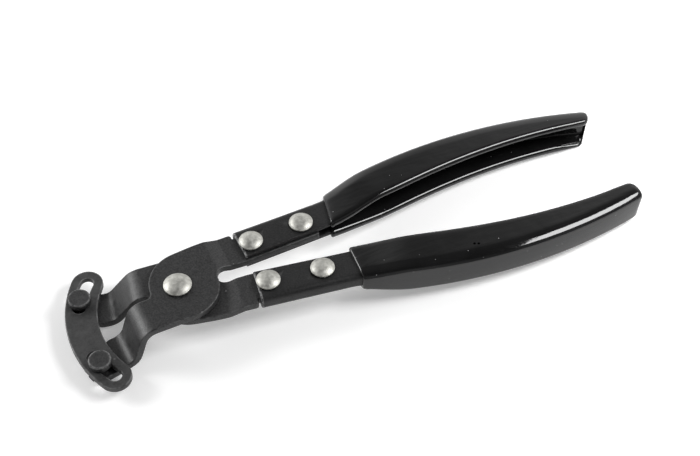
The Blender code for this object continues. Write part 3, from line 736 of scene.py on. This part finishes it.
def cutOut(piece, drill):
    step = piece.modifiers.new("drill", "BOOLEAN")
    step.operation, step.solver, step.object = "DIFFERENCE", "EXACT", drill
    bpy.context.view_layer.update()
    drilled = bpy.data.meshes.new_from_object(piece.evaluated_get(bpy.context.evaluated_depsgraph_get()))
    piece.modifiers.clear()
    piece.data = drilled
    bpy.data.objects.remove(drill)


def makeHandle(name, side):
    h, c = handleShape, channelShape
    rings, worn = [], []
    for turn, amount in c["rimWear"]:
        at = math.radians(turn)
        skin = -c["rim"] * (1 - math.cos(at))
        rings.append(channelRing(side, h["front"], skin, skin, c["edge"], c["rim"] * (1 - math.sin(at))))
        worn.append(amount)
    for x in handleStations(h["front"], c["fineStep"], c["coarseStep"]):
        rings.append(channelRing(side, x, edge=c["edge"]))
        worn.append(0.0)
    handle = makePiece(name, loftRings(rings, worn))
    for x, half in rivetSpots:
        bpy.ops.mesh.primitive_cylinder_add(vertices=c["drillSides"], radius=(handleShank + fit) * mm,
                                            depth=c["drillLong"] * mm,
                                            location=(x * mm, side * half * mm, midLevel * mm))
        cutOut(handle, bpy.context.object)
    return handle


def makeGrip(name, side):
    h, g = handleShape, gripShape
    skin, inner = fit + g["coat"], fit + g["innerCoat"]
    rings = []

    def slantAt(x):
        return g["mouthSlant"][side] * (1 - eased((x - g["start"]) / g["slantReach"]))

    for turn in g["tipTurns"]:  # round tip, from its end backwards
        at = math.radians(turn)
        back = g["tipCorner"] * (1 - math.sin(at))
        trim = g["tipCorner"] * (1 - math.cos(at)) * g["tipTrim"]
        shrink = g["coat"] * g["tipShrink"] * (1 - math.cos(at)) ** g["shrinkPower"]
        rings.append(channelRing(side, h["end"], skin - shrink, inner, g["edge"], g["tip"] - back,
                                 g["tipLean"][side], 0.0, trim))
    spots = handleStations(g["start"], g["fineStep"], g["coarseStep"])
    outer = [x for x in reversed(spots) if g["start"] + g["lipRoom"] < x < h["end"] - g["tipCorner"]]
    for x in outer:
        lean = g["tipLean"][side] * eased((x - h["end"] + g["leanStart"]) / g["leanReach"])
        rings.append(channelRing(side, x, skin, inner, g["edge"], 0.0, lean, slantAt(x)))
    for turn in g["lipTurns"]:  # rolled lip at the mouth
        at = math.radians(turn)
        roll = g["lip"] * (1 - math.cos(at))
        rings.append(channelRing(side, g["start"], skin - roll, max(inner - roll, fit + g["leastInner"]), g["edge"],
                                 g["lip"] * (1 - math.sin(at)), 0.0, slantAt(g["start"])))
    liner, linerEdge = g["liner"], g["linerEdge"]  # the coat's inside, just off the channel
    for x in handleStations(g["start"], g["linerFine"], g["linerCoarse"]):
        rings.append(channelRing(side, x, liner, liner, linerEdge, 0.0, 0.0, slantAt(x)))
    rings.append(channelRing(side, h["end"], liner, liner, linerEdge, liner))
    return makePiece(name, loftRings(rings, [0.0] * len(rings)))


for side, hand, body in ((1, "right", "top_half"), (-1, "left", "bottom_half")):
    standFor(makeHandle(hand + "Handle", side), hand + "_handle", body, channelBlack)
    standFor(makeGrip(hand + "Grip", side), hand + "_grip", body, gripVinyl)
print("handles folded, grips dipped")


# rivets and guide pins

pivotRivet = dict(shank=pivotShank, head=5.8, headHigh=2.2, tail=5.5, tailHigh=1.6, rim=0.55, seat=3.45, flat=2.6)
handleRivet = dict(shank=handleShank, head=5.0, headHigh=2.0, tail=4.3, tailHigh=1.2, rim=0.55, seat=3.8, flat=2.6)
rivetEdge = dict(domeSteps=18, domeGap=0.2, shoulder=0.35, shoulderDrop=0.1, shoulderTurn=52, chamfer=0.12,
                 tailGap=0.1, tailRound=0.45, tailFlat=1.0)  # the same on every rivet
guidePin = dict(body=2.4, head=4.6, headHigh=3.0, edge=0.45, flatBack=1.2, rubBack=0.7, skirt=0.9, chamfer=0.2)


def rivetProfile(r):
    e = rivetEdge
    crown = r["headHigh"] - r["rim"]
    dome = r["head"] - e["domeGap"]
    top, low = r["seat"] + r["headHigh"], -r["seat"] - r["tailHigh"]
    profile = []
    for k in range(e["domeSteps"]):
        share = k / e["domeSteps"]
        profile.append((dome * share, top - crown * share ** r["flat"], 0.0))
    shoulder, ease = e["shoulder"], e["tailRound"]  # small rounds between dome and rim, and below the tail
    profile += softEdge((r["head"] - shoulder, r["seat"] + r["rim"] - e["shoulderDrop"]), shoulder,
                        e["shoulderTurn"], 0, 0.6)
    profile += [(r["head"], r["seat"] + e["chamfer"], 0.0), (r["head"] - e["chamfer"], r["seat"], 0.0),
                (r["shank"], r["seat"], 0.0), (r["shank"], -r["seat"], 0.0),
                (r["tail"] - e["tailGap"], -r["seat"], 0.0)]
    profile += softEdge((r["tail"] - ease, low + ease), ease, 0, -90, 0.5)
    profile += [(r["tail"] - e["tailFlat"], low, 0.0), (0, low, 0.0)]
    return profile


def makeRivet(name, spot, r):
    return makePiece(name, turnedPiece(rivetProfile(r), spot))


def makePin(name, side):
    p, drop = guidePin, jawShape["drop"]
    padTop, padUnder = -drop + leverThick / 2, -drop - leverThick / 2
    seat = padTop + fit + plateThick + fit  # above the guide plate
    top = seat + p["headHigh"]
    profile = [(0, top, 0.0), (p["head"] - p["flatBack"], top, 0.0), (p["head"] - p["rubBack"], top, 0.2)]
    profile += softEdge((p["head"] - p["edge"], top - p["edge"]), p["edge"], 90, 0, 1.0)
    profile += [(p["head"], top - p["skirt"], 0.1), (p["head"], seat + p["chamfer"], 0.0),
                (p["head"] - p["chamfer"], seat, 0.3), (p["body"], seat, 0.0), (p["body"], padTop + fit, 0.0),
                (pinSpigot, padTop + fit, 0.0), (pinSpigot, padUnder, 0.4), (0, padUnder, 0.0)]
    return makePiece(name, turnedPiece(profile, pinSpot(side)))


standFor(makeRivet("pivotRivet", Vector((0, 0)), pivotRivet), "pivot_rivet", "top_half", rivetSteel)
for side, hand, body in ((1, "right", "top_half"), (-1, "left", "bottom_half")):
    for end, (x, half) in zip(("front", "rear"), rivetSpots):
        rivet = makeRivet(hand + end.title() + "Rivet", Vector((x, side * half)), handleRivet)
        standFor(rivet, f"{hand}_{end}_rivet", body, rivetSteel)
standFor(makePin("leftGuidePin", 1), "left_guide_pin", "top_half", pinBlack)
standFor(makePin("rightGuidePin", -1), "right_guide_pin", "bottom_half", pinBlack)
print("rivets and pins turned")


# guide plate

guidePlate = dict(halfWidth=6.6, middle=40.2, slotInner=18.2, slotOuter=36.2, slotHalf=2.7, rest=1.3, rimRound=0.4)


def arcBand(centreX, radius, halfWidth, first, last, step=2.5, capStep=8):
    # band with round ends along an arc about a point of the X axis, angles in degrees
    def onArc(distance, at):
        at = math.radians(at)
        return Vector((centreX - distance * math.cos(at), distance * math.sin(at)))

    def cap(end, start):
        spots = []
        for turn in spread(start, start + 180, capStep)[1:-1]:
            at = math.radians(turn)
            spots.append(onArc(radius, end) + halfWidth * Vector((-math.cos(at), math.sin(at))))
        return spots

    angles = spread(first, last, step)
    return ([onArc(radius + halfWidth, at) for at in angles] + cap(last, last)
            + [onArc(radius - halfWidth, at) for at in reversed(angles)] + cap(first, first + 180))


def makeGuidePlate():
    g, circle = guidePlate, jawShape["pinCircle"]
    end = circle * heading(g["slotOuter"])
    rise = g["middle"] - end.x
    radius = (end.y ** 2 + rise ** 2) / (2 * rise)
    reach = math.degrees(math.asin(end.y / radius))
    outline = arcBand(radius - g["middle"], radius, g["halfWidth"], -reach, reach)
    slots = [arcBand(0, circle, g["slotHalf"], g["slotInner"], g["slotOuter"]),
             arcBand(0, circle, g["slotHalf"], -g["slotOuter"], -g["slotInner"])]
    swing = Matrix.Rotation(math.radians(g["rest"]), 2).inverted()
    loops = [[swing @ p for p in loop] for loop in [outline] + slots]
    holes = [loop[::-1] if runsLeft(loop) else loop for loop in loops[1:]]
    under = -jawShape["drop"] + leverThick / 2 + fit
    mesh = bentPlate(loops[0], holes, g["rimRound"], levelAt(under + plateThick), levelAt(under))
    return makePiece("guidePlate", mesh)


standFor(makeGuidePlate(), "guide_plate", "guide_plate", plateBlack)
print("guide plate cut")


# floor, light and camera

studio = dict(floorTilt=2.32, floorLow=-12.45, floorAtX=-42.0, floorHalf=0.9, floorColour=grey(0.83),
              floorRough=0.95, floorSpecular=0.1, floorGlow=0.28)
floorMesh = bmesh.new()
bmesh.ops.create_grid(floorMesh, x_segments=1, y_segments=1, size=studio["floorHalf"])
tilt = math.radians(studio["floorTilt"])
bmesh.ops.transform(floorMesh, verts=floorMesh.verts,
                    matrix=Matrix.Translation((studio["floorAtX"] * mm, 0, studio["floorLow"] * mm))
                    @ Matrix.Rotation(-tilt, 4, "Y"))
floorData = bpy.data.meshes.new("studioFloor")
floorMesh.to_mesh(floorData)
floorMesh.free()
floor = bpy.data.objects.new("studioFloor", floorData)
bpy.context.scene.collection.objects.link(floor)
floorFinish, tree, shader = newFinish("floorWhite")
for label, value in (("Base Color", (*studio["floorColour"], 1)), ("Roughness", studio["floorRough"]),
                     ("Specular IOR Level", studio["floorSpecular"]), ("Emission Color", (1, 1, 1, 1))):
    shader.inputs[label].default_value = value
rays = addNode(tree, "ShaderNodeLightPath")
seen = combine(tree, "ADD", rays.outputs["Is Camera Ray"], rays.outputs["Is Glossy Ray"], True)
tree.links.new(combine(tree, "MULTIPLY", seen, studio["floorGlow"]), shader.inputs["Emission Strength"])
floorData.materials.append(floorFinish)

# the room's light: axis, where a change starts and ends, and the share before and after it
roomLight = (("X", -0.08, 0.27, 1.0, 0.34),  # dimmer strip at the right
             ("X", 0.27, 0.38, 1.0, 2.1),  # lighter past it
             ("X", -0.6, -0.3, 0.55, 1.0),  # dimmer at the left end
             ("Y", -0.3, 0.4, 0.28, 1.0),  # dimmer in front
             ("Z", 0.62, 0.84, 1.58, 0.15))  # bright wall, dim ceiling
world = bpy.data.worlds.new("studioWorld")
bpy.context.scene.world = world
world.use_nodes = True
sky = world.node_tree
place = addNode(sky, "ShaderNodeTexCoord")
parts = addNode(sky, "ShaderNodeSeparateXYZ")
sky.links.new(place.outputs["Generated"], parts.inputs["Vector"])
room = 1.0
for axis, start, end, before, after in roomLight:
    room = combine(sky, "MULTIPLY", room, remap(sky, parts.outputs[axis], start, end, before, after))
rays = addNode(sky, "ShaderNodeLightPath")
backdrop = combine(sky, "MAXIMUM", room, rays.outputs["Is Camera Ray"])  # plain white behind the floor
sky.links.new(backdrop, sky.nodes["Background"].inputs["Color"])

softboxes = (
    dict(name="rightSoftbox", at=(0.455, -0.165, 0.455), aim=(0.455, -0.165, 0.0), wide=0.29, long=0.27, watts=4.0),
    dict(name="leftBank", at=(-0.74, 0.56, 0.44), aim=(0.0, 0.0, 0.0), wide=0.46, long=0.40, watts=6.0),
)
for box in softboxes:
    lamp = bpy.data.lights.new(box["name"], "AREA")
    lamp.shape, lamp.size, lamp.size_y, lamp.energy = "RECTANGLE", box["wide"], box["long"], box["watts"]
    stand = bpy.data.objects.new(box["name"], lamp)
    back = (Vector(box["at"]) - Vector(box["aim"])).normalized()
    wideways = (Vector((1, 0, 0)) - back * back.x).normalized()
    turn = Matrix((wideways, back.cross(wideways), back)).transposed()
    stand.matrix_world = Matrix.Translation(box["at"]) @ turn.to_4x4()
    bpy.context.scene.collection.objects.link(stand)

viewpoint = dict(pixels=1497.0, wide=700, sensor=36.0, scale=0.4, raised=49.30, swung=20.50, roll=0.57,
                 across=-172.6, up=-55.9, level=9.35)
v = viewpoint
swing = Matrix.Rotation(math.radians(v["swung"]), 3, "Z")
lift, roll = math.radians(v["raised"]), math.radians(v["roll"])
tip = Matrix(((1, 0, 0), (0, math.sin(lift), math.cos(lift)), (0, -math.cos(lift), math.sin(lift))))
look = Matrix.Rotation(roll, 3, "Z") @ tip @ swing  # rows point right, up and back
eye = look.transposed() @ Vector((-v["across"], -v["up"], v["pixels"])) * v["scale"] + Vector((0, 0, v["level"]))
lens = bpy.data.cameras.new("photoView")
lens.sensor_width, lens.lens = v["sensor"], v["sensor"] * v["pixels"] / v["wide"]
lens.clip_start, lens.clip_end = 0.01, 20.0
camera = bpy.data.objects.new("photoView", lens)
camera.matrix_world = Matrix.Translation(eye * mm) @ look.transposed().to_4x4()
bpy.context.scene.collection.objects.link(camera)
bpy.context.scene.camera = camera
bpy.context.scene.view_settings.view_transform = "Standard"
print("floor, light and camera set")
